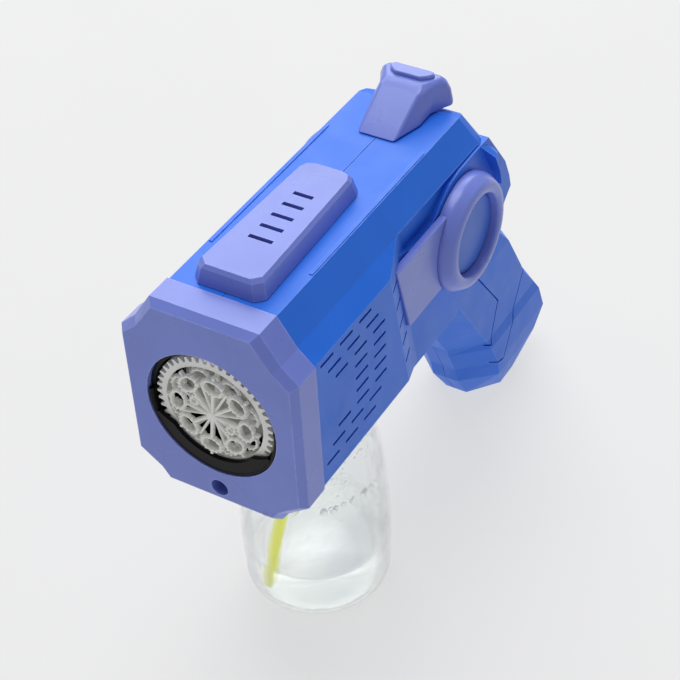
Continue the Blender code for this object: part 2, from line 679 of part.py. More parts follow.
def pump(mats):
    """Peristaltic pump: gear, rotor with three rollers, squeezed hose and housing."""
    wheel = gear(PUMP_TEETH, (0, PUMP_Z), 97.4, 101.2,
                 phase=pi / 2 + (pi / PUMP_TEETH if PINION_TEETH % 2 else 0))
    obj = mesh_object("pump_gear", wheel, mats["white"], (0, 0, PUMP_Z))
    boolean(obj, mesh_object("cut_pump_gear", cylinder(2.0, (0, 90, PUMP_Z),
                                                       (0, 110, PUMP_Z), 16)))
    rotor = [cylinder(4.0, (0, 101.6, PUMP_Z), (0, 112.0, PUMP_Z), 20)]
    for arm in range(3):
        angle = arm * 2 * pi / 3 + pi / 2
        end = (9.0 * cos(angle), 103.0, PUMP_Z + 9.0 * sin(angle))
        rotor.append(cylinder(1.4, (0, 103.0, PUMP_Z), end, 8))
        pin_end = (end[0], 111.6, end[2])
        rotor.append(cylinder(1.0, end, pin_end, 10))
    hub = mesh_object("pump_rotor", merge(*rotor), mats["white"], (0, 0, PUMP_Z))
    boolean(hub, mesh_object("cut_pump_rotor", cylinder(2.0, (0, 95, PUMP_Z),
                                                        (0, 115, PUMP_Z), 16))
            ).use_self = True
    for arm in range(3):
        angle = arm * 2 * pi / 3 + pi / 2
        centre = (9.0 * cos(angle), 104.8, PUMP_Z + 9.0 * sin(angle))
        turned(f"pump_roller_{arm + 1}", [(1.3, 0), (2.4, 0), (2.4, 6.0), (1.3, 6.0)],
               mats["metal"], "Y", centre, 12)
    turned("pump_axle", [(0, 96.0), (1.7, 96.0), (1.7, 116.5), (0, 116.5)],
           mats["steel"], "Y", (0, 0, PUMP_Z), 20)
    housing = [(16.8, 102.2), (16.8, 115.5), (2.1, 115.5), (2.1, 113.6), (15.6, 113.6),
               (15.6, 102.2)]
    shell = turned("pump_housing", housing, mats["black"], "Y", (0, 0, PUMP_Z), 28)
    boolean(shell, mesh_object("cut_pump_ports", box((-30, 100, PUMP_Z - 30),
                                                     (30, 113.0, PUMP_Z - 5.5))))


def hoses(mats):
    """Squeezed loop in the pump, and the dip tube from the neck into the bottle."""
    radius = 13.4
    loop = arc((0, PUMP_Z), radius, -20, 200, 16)
    ring = [(x, 107.8, z) for x, z in loop]
    up = smooth_route([(6.0, 74.0, 112.5), (9.5, 82, 113.5), (12.6, 96, 116),
                       (13.2, 106.5, 126), ring[0]], 14)
    out = smooth_route([ring[-1], (-13.2, 106.5, 126), (-16.0, 92, 121), (-20.5, 70, 120),
                        (-20.8, 40, 118), (-20.6, 22, 116)], 18)
    tube_curve("solution_hose", up[:-1] + ring + out[1:], 1.7, mats["yellow"], 1)
    dip = smooth_route([(0.0, 62.0, 111.5), (0.2, 60.0, 96), (-0.6, 51.0, 72),
                        (-3.0, 42.0, 50), (-6.2, 37.0, 28), (-8.2, 35.6, 9)], 20)
    tube_curve("dip_tube", dip, 2.4, mats["yellow"], 2)


# ---------------------------------------------------------------- bottle

def bottle_profile(wall=0.0):
    """Outer (or inner) radius and height from the base to the neck."""
    fillet = 7.25
    base = BOTTLE_RADIUS - 0.9
    points = [(base - fillet, wall)]
    points += [(base - fillet + (fillet - wall) * sin(a), fillet - (fillet - wall) * cos(a))
               for a in (radians(d) for d in (45, 90))]
    points.append((BOTTLE_RADIUS - wall, 26.0))
    for degrees in (20, 38, 57):
        a = radians(degrees)
        points.append((14 + 16 * cos(a) - wall, 26.0 + 77.2 * sin(a)))
    points += [(18.5 - wall, 94.2 - wall), (NECK_RADIUS - wall, 96.2 - wall),
               (NECK_RADIUS - wall, NECK_TOP)]
    return points


def bottle(mats):
    wall = 1.2
    outer = bottle_profile()
    inner = bottle_profile(wall)
    profile = [(0, 0)] + outer + list(reversed(inner)) + [(0, wall)]
    turned("bottle", profile, mats["clear"], "Z", (0, BOTTLE_Y, 0), 36)


def bottle_socket(mats):
    """Screw socket in the casing that the bottle's neck turns into."""
    profile = [(16.6, 98.0), (16.6, 110.4), (3.2, 110.4), (3.2, 108.4), (13.6, 108.4),
               (13.6, 98.0)]
    socket = turned("bottle_socket", profile, mats["blue"], "Z", (0, BOTTLE_Y, 0), 32)
    tube_way = cylinder(2.8, (0, 62.0, 100), (0, 62.0, 120), 16)
    boolean(socket, mesh_object("cut_socket_tube", tube_way))
    turned("neck_seal", [(9.0, 106.4), (12.8, 106.4), (12.8, 108.0), (9.0, 108.0)],
           mats["rubber"], "Z", (0, BOTTLE_Y, 0), 24)


# ---------------------------------------------------------------- covers and trim

def top_cover(mats):
    base, height = BODY_TOP + GAP, 7.3
    rings = []
    for z, draft in ((base, 0.0), (base + height - 1.4, 1.2), (base + height, 2.3)):
        outline = cover_outline(draft)
        rings.append([(x, y, z) for x, y in outline])
    cover = mesh_object("top_cover", loft(rings), mats["lavender"])
    hollow = [[(x, y, z) for x, y in cover_outline(draft)]
              for z, draft in ((base - 2, 1.6), (base + height - 1.6, 3.0))]
    boolean(cover, mesh_object("cut_cover_hollow", loft(hollow)))
    slots = []
    for slot in range(5):
        y = 37.8 + 6.8 * slot
        half = 4.7 - 0.2 * slot
        slots.append(box((0.5 - half, y - 0.9, base + 3), (0.5 + half, y + 0.9, base + 12)))
    boolean(cover, mesh_object("cut_cover_slots", merge(*slots)))


def cover_outline(draft):
    front, rear = 16.0 + draft, 85.5 - draft
    wide, narrow = 14.0 - draft, 11.8 - draft
    half = [(wide - 3.0, front), (wide, front + 3.0), (narrow, rear - 4.0),
            (narrow - 1.2, rear - 1.2), (narrow - 4.0, rear)]
    return mirrored(half)


def rear_sight(mats):
    """Wedge with a sloped face, a plateau and a pad on it."""
    base = BODY_TOP + GAP
    levels = [
        (base, [(7.6, 115.3), (11.3, 128.5), (11.6, 138.0), (15.4, 146.0), (14.2, 148.2)]),
        (181.0, [(7.8, 127.0), (9.8, 132.5), (12.0, 140.0), (14.9, 146.0), (13.4, 148.2)]),
        (184.4, [(7.9, 133.4), (8.9, 135.6), (11.0, 141.2), (13.4, 145.4), (11.9, 147.8)]),
        (186.0, [(6.9, 138.2), (7.7, 138.9), (9.8, 141.8), (11.2, 145.0), (9.8, 146.8)]),
    ]
    rings = [mirrored([(x, y, z) for x, y in half]) for z, half in levels]
    sight = mesh_object("rear_sight", loft(rings), mats["lavender"])
    pad_levels = [
        (185.2, [(5.2, 139.9), (8.0, 141.8), (9.4, 144.0), (8.2, 145.6)]),
        (187.6, [(4.8, 140.2), (7.5, 141.9), (8.8, 143.9), (7.7, 145.4)]),
    ]
    pad = loft([mirrored([(x, y, z) for x, y in half]) for z, half in pad_levels])
    boolean(sight, mesh_object("add_sight_pad", pad), "UNION")
    bevel(sight, 0.6, 2, 25)


def side_trim(mats):
    """Ring, disc and flag plate on each side."""
    for sign, side, axis in ((1, "left", "X"), (-1, "right", "-X")):
        base = RECESS_FLOOR + GAP
        low = 0.0 if sign > 0 else RIGHT_RING_DROP
        ring = [(16.3, base), (RING_RADIUS, base), (RING_RADIUS, base + 3.6),
                (20.8, base + 7.6 - low), (18.0, base + 8.4 - low), (16.3, base + 7.4 - low)]
        turned(f"side_ring_{side}", ring, mats["lavender"], axis, (0, RING_Y, RING_Z), 40)
        disc = [(0, base), (16.0, base), (16.0, base + 4.2), (15.2, base + 5.0),
                (0, base + 5.0)]
        turned(f"side_disc_{side}", disc, mats["blue"], axis, (0, RING_Y, RING_Z), 40)
        plate = mesh_object(f"side_flag_{side}",
                            side_prism(flag_outline(), sign * base, sign * FLAG_FACE),
                            mats["lavender"])
        clear = cylinder(RING_RADIUS + GAP, (sign * 20, RING_Y, RING_Z), (sign * 50, RING_Y, RING_Z),
                         40)
        boolean(plate, mesh_object(f"cut_flag_{side}", clear))
        bevel(plate, 1.0, 2, 60)


# ---------------------------------------------------------------- grip contents

def rake_point(across, along):
    """Point (Y, Z) in the battery bay: across to the rear, along up the grip."""
    y, z = CELL_CENTRE
    return (y + across * cos(RAKE) - along * sin(RAKE),
            z + across * sin(RAKE) + along * cos(RAKE))


def battery_pack(mats):
    down = -1
    for column, x in enumerate((-7.3, 7.3)):
        for row, across in enumerate((-7.3, 7.3)):
            up = 1 if (column + row) % 2 == 0 else down
            name = f"cell_{2 * column + row + 1}"
            y, z = rake_point(across, 0)
            profile = [(0, -CELL_LENGTH / 2), (CELL_RADIUS, -CELL_LENGTH / 2),
                       (CELL_RADIUS, CELL_LENGTH / 2 - 1.5), (2.6, CELL_LENGTH / 2 - 1.5),
                       (2.6, CELL_LENGTH / 2), (0, CELL_LENGTH / 2)]
            cell = turned(name, profile, mats["cell"], "Z", (x, y, z), 24)
            cell.rotation_euler = (RAKE if up > 0 else RAKE + pi, 0, 0)
    for name, along in (("contact_top", 26.4), ("contact_bottom", -26.4)):
        plate = box((-13.5, -13.5, along - 0.3), (13.5, 13.5, along + 0.3))
        bmesh.ops.rotate(plate, verts=plate.verts, matrix=Matrix.Rotation(RAKE, 3, "X"))
        bmesh.ops.translate(plate, verts=plate.verts, vec=(0, *CELL_CENTRE))
        mesh_object(name, plate, mats["metal"])


def battery_door(mats):
    """Side lid of the battery bay, turning on its lower tabs."""
    hinge = rake_point(0, -26.0)
    lid = box((-18.5, -15.2, -26.2), (-16.6, 15.2, 26.2))
    bmesh.ops.rotate(lid, verts=lid.verts, matrix=Matrix.Rotation(RAKE, 3, "X"))
    bmesh.ops.translate(lid, verts=lid.verts, vec=(0, *CELL_CENTRE))
    mesh_object("battery_door", lid, mats["blue"], (-18.5, *hinge))


def trigger_group(mats):
    outline = [(120.0, 95.4), (117.6, 87.0), (119.4, 80.0), (124.6, 74.8), (129.0, 74.4),
               (130.6, 76.4), (129.4, 84.0), (133.0, 95.4)]
    blade = side_prism(outline, -4.4, 4.4)
    stem = box((-2.6, 128.0, 86.4), (2.6, 142.0, 91.2))
    trigger = mesh_object("trigger", blade, mats["lavender"])
    boolean(trigger, mesh_object("add_trigger_stem", stem), "UNION")
    bevel(trigger, 0.7, 2, 35)
    coil = coil_points((0, 142.6, 88.8), (0, 1, 0), 6.8, 1.9, 4.5, 8)
    tube_curve("trigger_spring", coil, 0.35, mats["steel"], 1)
    switch = box((-3.2, 150.0, 85.0), (3.2, 156.5, 95.0))
    bevel(mesh_object("trigger_switch", switch, mats["black"]), 0.4, 1)


# ---------------------------------------------------------------- build

def make_materials():
    return {
        "blue": material("blue_plastic", (0.085, 0.21, 0.74), 0.42),
        "lavender": material("lavender_plastic", (0.31, 0.36, 0.80), 0.30),
        "white": material("white_plastic", (0.80, 0.80, 0.76), 0.40),
        "black": material("black_plastic", (0.012, 0.012, 0.014), 0.35),
        "clear": material("clear_plastic", (0.86, 0.90, 0.88), 0.06, transmission=1.0),
        "yellow": material("yellow_hose", (0.72, 0.76, 0.13), 0.35),
        "steel": material("steel", (0.60, 0.61, 0.63), 0.30, metallic=1.0),
        "metal": material("motor_steel", (0.50, 0.51, 0.53), 0.38, metallic=1.0),
        "rubber": material("black_rubber", (0.03, 0.03, 0.03), 0.80),
        "cell": material("cell_sleeve", (0.10, 0.10, 0.11), 0.35),
    }


def centre_length():
    """Put the middle of the length at Y = 0."""
    for obj in list(PARTS.objects) + list(CUTTERS.objects):
        obj.location.y -= LENGTH / 2 * MM


def main():
    global PARTS, CUTTERS
    clear_scene()
    PARTS = add_collection("bubble_machine")
    CUTTERS = add_collection("cutters")
    mats = make_materials()
    for make in (casing, screws, front_bezel, front_frame, bezel_screw, drip_cup,
                 wand_star, wand_gear, wand_axle, air_duct, fan, drive, pump, hoses,
                 bottle, bottle_socket, top_cover, rear_sight, side_trim, battery_pack,
                 battery_door, trigger_group):
        make(mats)
    centre_length()


main()
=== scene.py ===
"""Toy bubble machine: looks, detail pieces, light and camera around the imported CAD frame."""
from math import cos, pi, radians, sin
from random import Random

import bmesh
import bpy
from mathutils import Matrix, Vector


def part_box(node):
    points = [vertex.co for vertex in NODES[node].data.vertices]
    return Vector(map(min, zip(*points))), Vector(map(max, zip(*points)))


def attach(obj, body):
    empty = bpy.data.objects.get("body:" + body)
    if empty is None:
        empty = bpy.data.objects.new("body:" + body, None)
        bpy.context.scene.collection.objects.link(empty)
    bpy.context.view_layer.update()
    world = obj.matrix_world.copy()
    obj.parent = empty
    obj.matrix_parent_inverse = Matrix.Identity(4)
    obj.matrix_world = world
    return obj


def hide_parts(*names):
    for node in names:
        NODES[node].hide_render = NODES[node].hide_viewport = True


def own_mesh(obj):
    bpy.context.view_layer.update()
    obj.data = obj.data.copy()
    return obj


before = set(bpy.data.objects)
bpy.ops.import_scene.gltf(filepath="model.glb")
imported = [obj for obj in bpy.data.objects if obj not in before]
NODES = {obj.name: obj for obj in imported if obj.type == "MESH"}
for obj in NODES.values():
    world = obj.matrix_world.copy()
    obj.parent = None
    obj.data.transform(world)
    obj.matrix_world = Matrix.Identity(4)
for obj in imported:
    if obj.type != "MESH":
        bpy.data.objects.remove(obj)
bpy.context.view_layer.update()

# Sizes and places are in millimetres: X to the holder's left, Y back from the muzzle face,
# Z up from what the toy stands on. A value that only one function uses is inside it.
MM = 0.001
HALF_LENGTH = 114.7             # the CAD frame has Y = 0 at the middle of the length
SIDES = (("left", 1), ("right", -1))

WAND_Z = 131.8                  # the wand's axis
FRONT_LOOPS = 8
LOOP_TURN = radians(-7.0)

BOTTLE_Y = 57.8                 # the bottle's axis
BOTTLE_RADIUS = 30.0
NECK_RADIUS = 13.0
BOTTLE_WALL = 1.0
LIQUID_LEVEL = 24.0

RING_Y, RING_Z = 125.4, 135.8   # centre of each side's ring and disc
RIGHT_RING_DROP = 2.6           # how much less the right ring stands out than the left one

SPRING_START, SPRING_LENGTH, SPRING_Z = 142.6, 6.8, 88.8


def at(x, y, z):
    """Metres in the CAD frame from millimetres measured back from the muzzle face."""
    return Vector((x * MM, (y - HALF_LENGTH) * MM, z * MM))


# ---------------------------------------------------------------- shader nodes

def new_material(name):
    mat = bpy.data.materials.new(name)
    mat.use_nodes = True
    return mat, mat.node_tree, mat.node_tree.nodes["Principled BSDF"]


def set_inputs(node, values):
    for name, value in values.items():
        node.inputs[name].default_value = value


def noise(tree, scale, detail, seed):
    """Noise in object space, shifted so that no two uses look alike."""
    coords = tree.nodes.new("ShaderNodeTexCoord")
    shift = tree.nodes.new("ShaderNodeMapping")
    set_inputs(shift, {"Location": (seed, seed * 0.7, -seed * 0.4)})
    tex = tree.nodes.new("ShaderNodeTexNoise")
    set_inputs(tex, {"Scale": scale, "Detail": detail})
    tree.links.new(coords.outputs["Object"], shift.inputs["Vector"])
    tree.links.new(shift.outputs["Vector"], tex.inputs["Vector"])
    return tex.outputs["Fac"]


def spread(tree, value, low, high, start=0.3, end=0.7):
    """Maps the range from start to end onto the one from low to high."""
    node = tree.nodes.new("ShaderNodeMapRange")
    set_inputs(node, {"From Min": start, "From Max": end, "To Min": low, "To Max": high})
    tree.links.new(value, node.inputs["Value"])
    return node.outputs["Result"]


def blend_colours(tree, factor, first, second):
    """Mixes two colours, each a tuple or another node's output."""
    node = tree.nodes.new("ShaderNodeMix")
    node.data_type = "RGBA"
    tree.links.new(factor, node.inputs["Factor"])
    colour_a, colour_b = node.inputs[6], node.inputs[7]
    for socket, value in ((colour_a, first), (colour_b, second)):
        if isinstance(value, tuple):
            socket.default_value = (*value, 1.0)
        else:
            tree.links.new(value, socket)
    colour_result = node.outputs[2]
    return colour_result


def bump(tree, height, strength, distance, normal=None):
    """Surface relief, on top of another relief if one is given."""
    node = tree.nodes.new("ShaderNodeBump")
    set_inputs(node, {"Strength": strength, "Distance": distance})
    tree.links.new(height, node.inputs["Height"])
    if normal:
        tree.links.new(normal, node.inputs["Normal"])
    return node.outputs["Normal"]


def edge_mask(tree, radius):
    """1 on sharp convex and concave edges, 0 on the flats."""
    soft = tree.nodes.new("ShaderNodeBevel")
    soft.samples = 6
    set_inputs(soft, {"Radius": radius})
    true = tree.nodes.new("ShaderNodeNewGeometry")
    dot = tree.nodes.new("ShaderNodeVectorMath")
    dot.operation = "DOT_PRODUCT"
    tree.links.new(soft.outputs["Normal"], dot.inputs[0])
    tree.links.new(true.outputs["Normal"], dot.inputs[1])
    return spread(tree, dot.outputs["Value"], low=1.0, high=0.0, start=0.93, end=0.995)


def tint(colour, gain):
    return tuple(min(1.0, c * gain) for c in colour)


# ---------------------------------------------------------------- materials

def moulded(name, colour, roughness, seed, grain_depth=0.06, edge_highlight=None, swirl=0.05,
            coat=0.0, subsurface=0.0, specular=0.35, glow=0.0):
    """Injection-moulded plastic: faint flow marks, spark-eroded grain, painted edge
    highlights, painted glow.
    """
    mat, tree, shader = new_material(name)
    flow = noise(tree, scale=38.0, detail=4.0, seed=seed)
    base = blend_colours(tree, spread(tree, flow, low=0.0, high=1.0),
                         tint(colour, 1.0 - swirl), tint(colour, 1.0 + swirl))
    # Painted highlight: sharp edges take a lighter colour, in patches, as if they caught the
    # light.
    if edge_highlight:
        patches = noise(tree, scale=220.0, detail=2.0, seed=seed + 1)
        highlight_mask = tree.nodes.new("ShaderNodeMath")
        highlight_mask.operation = "MULTIPLY"
        tree.links.new(edge_mask(tree, radius=0.0007), highlight_mask.inputs[0])
        tree.links.new(spread(tree, patches, low=0.15, high=0.75), highlight_mask.inputs[1])
        base = blend_colours(tree, highlight_mask.outputs["Value"], base, edge_highlight)
    tree.links.new(base, shader.inputs["Base Color"])

    smear = noise(tree, scale=90.0, detail=5.0, seed=seed + 2)
    tree.links.new(spread(tree, smear, low=roughness - 0.05, high=roughness + 0.07),
                   shader.inputs["Roughness"])

    slow = noise(tree, scale=60.0, detail=1.0, seed=seed + 3)
    waves = bump(tree, slow, strength=0.12, distance=0.0004)
    grain = noise(tree, scale=1800.0, detail=2.0, seed=seed + 4)
    fine = bump(tree, grain, strength=grain_depth, distance=0.00012, normal=waves)
    tree.links.new(fine, shader.inputs["Normal"])

    set_inputs(shader, {
        "Specular IOR Level": specular,
        # Painted glow: the plastic gives off light in its own colour, though it is no lamp.
        "Emission Color": (*colour, 1.0), "Emission Strength": glow,
        "Coat Weight": coat, "Coat Roughness": 0.12,
        "Subsurface Weight": subsurface, "Subsurface Scale": 0.002,
    })
    return mat


def metal(name, colour, roughness, seed):
    """Drawn or turned steel: fine scratches in the roughness and the normal."""
    mat, tree, shader = new_material(name)
    set_inputs(shader, {"Metallic": 1.0})
    stains = noise(tree, scale=120.0, detail=4.0, seed=seed)
    base = blend_colours(tree, spread(tree, stains, low=0.0, high=1.0),
                         tint(colour, 0.85), tint(colour, 1.1))
    tree.links.new(base, shader.inputs["Base Color"])
    rubbed = noise(tree, scale=700.0, detail=3.0, seed=seed + 1)
    tree.links.new(spread(tree, rubbed, low=roughness - 0.08, high=roughness + 0.12),
                   shader.inputs["Roughness"])
    scratches = noise(tree, scale=1500.0, detail=2.0, seed=seed + 2)
    tree.links.new(bump(tree, scratches, strength=0.1, distance=0.00008),
                   shader.inputs["Normal"])
    return mat


def clear_material(name, colour, roughness, ior, seed, alpha, waviness=0.08):
    """Clear bottle wall, liquid or droplets, with slow ripples in the surface."""
    mat, tree, shader = new_material(name)
    haze = noise(tree, scale=45.0, detail=2.0, seed=seed)
    base = blend_colours(tree, spread(tree, haze, low=0.0, high=1.0),
                         tint(colour, 0.985), colour)
    tree.links.new(base, shader.inputs["Base Color"])
    smear = noise(tree, scale=160.0, detail=3.0, seed=seed + 1)
    tree.links.new(spread(tree, smear, low=roughness, high=roughness + 0.03),
                   shader.inputs["Roughness"])
    ripples = noise(tree, scale=55.0, detail=2.0, seed=seed + 2)
    tree.links.new(bump(tree, ripples, strength=waviness, distance=0.0012),
                   shader.inputs["Normal"])
    set_inputs(shader, {"Transmission Weight": 1.0, "IOR": ior, "Alpha": alpha,
                        "Coat Weight": 1.0, "Coat Roughness": 0.04})
    return mat


BLUE = (0.022, 0.172, 0.83)
LAVENDER = (0.200, 0.262, 0.76)
MATS = {
    # The lighter edge colours below paint highlights along sharp edges.
    "blue": moulded("blue_plastic", BLUE, 0.42, 1.0, edge_highlight=(0.16, 0.36, 0.95)),
    "lavender": moulded("lavender_plastic", LAVENDER, 0.30, 7.0, grain_depth=0.015,
                        edge_highlight=(0.52, 0.57, 0.98), coat=0.15),
    "disc": moulded("side_disc_plastic", (0.050, 0.165, 0.70), 0.36, 9.0,
                    edge_highlight=(0.16, 0.34, 0.9)),
    # Painted glow: the white plastic gives off a little light of its own to look brighter.
    "white": moulded("white_plastic", (0.90, 0.90, 0.86), 0.38, 13.0, grain_depth=0.02,
                     glow=0.035),
    "black": moulded("black_plastic", (0.003, 0.003, 0.004), 0.32, 19.0, specular=0.12),
    # Painted glow: the hose gives off light in its own colour to look brighter.
    "yellow": moulded("yellow_hose", (0.88, 0.92, 0.14), 0.30, 23.0, subsurface=0.2,
                      swirl=0.08, glow=0.30),
    "rubber": moulded("black_rubber", (0.028, 0.028, 0.028), 0.75, 29.0, grain_depth=0.2),
    "cell": moulded("cell_sleeve", (0.09, 0.09, 0.10), 0.32, 31.0, swirl=0.15),
    "steel": metal("steel", (0.60, 0.61, 0.63), 0.26, 37.0),
    "metal": metal("motor_steel", (0.48, 0.49, 0.51), 0.36, 41.0),
    "screw": metal("dark_screw", (0.16, 0.17, 0.22), 0.34, 43.0),
    "clear": clear_material("bottle_plastic", (0.90, 0.93, 0.92), 0.03, 1.08, 47.0, 0.45),
    "liquid": clear_material("bubble_solution", (0.93, 0.965, 0.95), 0.0, 1.22, 53.0, 0.6,
                             waviness=0.02),
    "foam": clear_material("foam_bubbles", (0.93, 0.95, 0.96), 0.02, 1.28, 59.0, 0.75,
                           waviness=0.0),
}


# ---------------------------------------------------------------- looks of the CAD nodes

def numbered(stem, count):
    return [f"{stem}_{k}" for k in range(1, count + 1)]


def both_sides(stem):
    return [f"{stem}_{side}" for side, _ in SIDES]


NODE_LOOKS = {
    "blue": [*both_sides("casing"), "battery_door", "bottle_socket"],
    "lavender": ["front_bezel", "top_cover", "rear_sight", *both_sides("side_flag"),
                 *both_sides("side_ring"), "trigger"],
    "disc": both_sides("side_disc"),
    "white": ["front_frame", "wand_star", "wand_gear", "air_duct", "fan_impeller",
              "gearbox", "drive_pinion", "pump_pinion", "pump_gear", "pump_rotor"],
    "black": ["drip_cup", "fan_housing", "pump_housing", "trigger_switch"],
    "yellow": ["solution_hose", "dip_tube"],
    "rubber": ["neck_seal"],
    "cell": numbered("cell", 4),
    "steel": ["wand_axle", "fan_shaft", "drive_shaft", "pump_shaft", "pump_axle",
              "trigger_spring"],
    "metal": ["fan_motor", "drive_motor", *numbered("pump_roller", 3), "contact_top",
              "contact_bottom"],
    "screw": ["bezel_screw", *numbered("casing_screw", 5)],
    "clear": ["bottle"],
}
# node: (bevel width, segments, angle in degrees above which an edge is rounded)
ROUNDED = {
    "casing_left": (0.55, 2, 24), "casing_right": (0.55, 2, 24),
    "front_bezel": (0.9, 3, 20), "top_cover": (0.9, 3, 24), "rear_sight": (0.8, 3, 24),
    "side_flag_left": (0.5, 2, 30), "side_flag_right": (0.5, 2, 30),
    "trigger": (0.5, 2, 30), "battery_door": (0.4, 2, 30), "gearbox": (0.3, 2, 40),
    "wand_gear": (0.18, 1, 40),
}
WELD_DISTANCE = 1e-6            # metres
FLAT_ANGLE = radians(1.0)       # triangles within it are one flat face
SHARP_ANGLE = radians(34)


def round_edges(obj, width, segments, angle):
    mod = obj.modifiers.new("Edges", "BEVEL")
    mod.width = width * MM
    mod.segments = segments
    mod.limit_method = "ANGLE"
    mod.angle_limit = radians(angle)
    mod.harden_normals = True
    mod.use_clamp_overlap = True


def flatten(obj):
    """Joins coplanar triangles, so that Bevel meets only real edges."""
    flat = obj.modifiers.new("Flats", "DECIMATE")
    flat.decimate_type = "DISSOLVE"
    flat.angle_limit = FLAT_ANGLE


def smooth_between_edges(obj):
    """Shades round faces smooth and leaves sharp edges as they are."""
    custom = obj.data.attributes.get("custom_normal")
    if custom:
        obj.data.attributes.remove(custom)
    obj.data.shade_smooth()
    split = obj.modifiers.new("Sharp", "EDGE_SPLIT")
    split.split_angle = SHARP_ANGLE


def dress_nodes():
    """Gives every CAD node its material, and rounded edges or smooth shading."""
    for look, names in NODE_LOOKS.items():
        for name in names:
            obj = NODES[name]
            obj.data.materials.clear()
            obj.data.materials.append(MATS[look])
            weld = obj.modifiers.new("Weld", "WELD")
            weld.merge_threshold = WELD_DISTANCE
            if name in ROUNDED:
                flatten(obj)
                round_edges(obj, *ROUNDED[name])
            else:
                smooth_between_edges(obj)


# ---------------------------------------------------------------- mesh helpers

def link_mesh(name, bm):
    """Puts the shape in the scene as an object, and frees the bmesh."""
    mesh = bpy.data.meshes.new(name)
    bm.to_mesh(mesh)
    bm.free()
    obj = bpy.data.objects.new(name, mesh)
    bpy.context.scene.collection.objects.link(obj)
    return obj


def piece(name, bm, mat, body, angle=35.0):
    """Added piece that rides on a body, smooth where faces meet below the angle."""
    bmesh.ops.recalc_face_normals(bm, faces=bm.faces)
    obj = link_mesh(name, bm)
    obj.data.materials.append(mat)
    obj.data.shade_smooth()
    obj.data.set_sharp_from_angle(angle=radians(angle))
    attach(obj, body)
    return obj


def cut(obj, name, bm, place):
    """Cuts the shape out of the object, at a place in the stack before rounding."""
    cutter = link_mesh(name, bm)
    cutter.hide_render = True
    cutter.hide_viewport = True
    mod = obj.modifiers.new("Cut", "BOOLEAN")
    mod.operation = "DIFFERENCE"
    mod.solver = "EXACT"
    mod.use_self = True
    mod.object = cutter
    obj.modifiers.move(len(obj.modifiers) - 1, place)


def bridge(bm, a, b):
    """Band of faces between two closed rows of vertices."""
    for i in range(len(a)):
        j = (i + 1) % len(a)
        bm.faces.new((a[i], b[i], b[j], a[j]))


def skin(bm, rows):
    """Closed solid through the rows, with a face over the first and the last."""
    for a, b in zip(rows, rows[1:]):
        bridge(bm, a, b)
    bm.faces.new(rows[0])
    bm.faces.new(list(reversed(rows[-1])))


def lathe(bm, profile, place, steps=96):
    """Turns (radius, height) points about an axis; place maps (x, y, height) to metres."""
    on_axis = 1e-6
    rows = []
    for i in range(steps):
        a = 2 * pi * i / steps
        rows.append([None if r < on_axis else bm.verts.new(place(r * cos(a), r * sin(a), h))
                     for r, h in profile])
    poles = {k: bm.verts.new(place(0, 0, h)) for k, (r, h) in enumerate(profile)
             if r < on_axis}
    for i in range(steps):
        a, b = rows[i], rows[(i + 1) % steps]
        for k in range(len(profile) - 1):
            corners = [a[k] or poles[k], b[k] or poles[k],
                       b[k + 1] or poles.get(k + 1), a[k + 1] or poles.get(k + 1)]
            unique = list(dict.fromkeys(corners))
            if len(unique) > 2:
                bm.faces.new(unique)


def mirrored(half):
    """Closed outline from the (x, y) points of its left half."""
    return half + [(-x, y) for x, y in reversed(half)]


# ---------------------------------------------------------------- bubble wand

def on_wheel(r, s, angle, y):
    """Metres from a distance r along the angle and s across it, about the wand's axis."""
    return at(r * cos(angle) - s * sin(angle), y, WAND_Z + r * sin(angle) + s * cos(angle))


def scalloped_loop(bm, angle, reach, radius, y0, y1, ribs=13):
    """Ribbed ring that holds a film of solution, wider across its spoke than along it."""
    along_scale, across_scale = 0.80, 1.12
    steps = 2 * ribs
    rows = []
    for k in range(steps):
        turn = 2 * pi * k / steps
        rib = k % 2 == 0
        outer = radius + (0.42 if rib else -0.12)
        inner = radius - (1.12 if rib else 1.32)
        depth = 0.0 if rib else 0.3
        section = [(inner, y0 + 0.35 + depth), (inner + 0.3, y0 + depth),
                   (outer - 0.35, y0 + depth), (outer, y0 + 0.4 + depth), (outer, y1 - 0.3),
                   (outer - 0.3, y1), (inner, y1)]
        rows.append([bm.verts.new(on_wheel(reach + along_scale * r * cos(turn),
                                           across_scale * r * sin(turn), angle, y))
                     for r, y in section])
    for k in range(steps):
        bridge(bm, rows[k], rows[(k + 1) % steps])


def spoke(bm, angle, start, end, half, y0, y1):
    """Flat rib with a chamfered front, waisted between its two ends."""
    rows = []
    for r, scale in ((start, 1.15), (0.5 * (start + end), 0.85), (end, 1.0)):
        h = half * scale
        section = [(-h, y1), (-h, y0 + 0.35), (-0.4 * h, y0), (0.4 * h, y0),
                   (h, y0 + 0.35), (h, y1)]
        rows.append([bm.verts.new(on_wheel(r, s, angle, y)) for s, y in section])
    skin(bm, rows)


